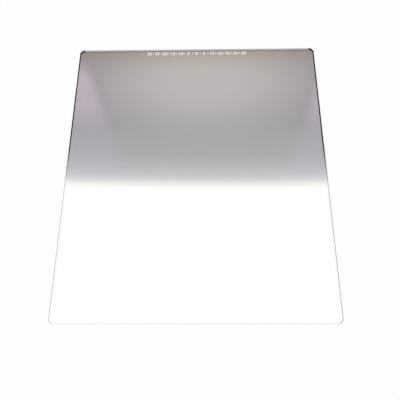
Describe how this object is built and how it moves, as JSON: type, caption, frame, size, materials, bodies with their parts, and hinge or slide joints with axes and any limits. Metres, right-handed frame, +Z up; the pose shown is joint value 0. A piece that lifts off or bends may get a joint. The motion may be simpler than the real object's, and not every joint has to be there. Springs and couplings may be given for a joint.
{
  "type": "square graduated nd filter",
  "caption": "Flat rectangular glass camera filter with clipped corners and ground edges, fading from a dense grey half to a clear half.",
  "frame": {"origin": "centre of the plate's underside", "axes": "+X across the width between the holder's guides, +Y along the length towards the dense end, +Z up through the thickness"},
  "size_m": [0.15, 0.17, 0.002],
  "materials": {
    "glass_plate": "polished",
    "scale_ink": "matte"
  },
  "bodies": {
    "root": {"glass_plate": "glass_plate"}
  },
  "joints": []
}
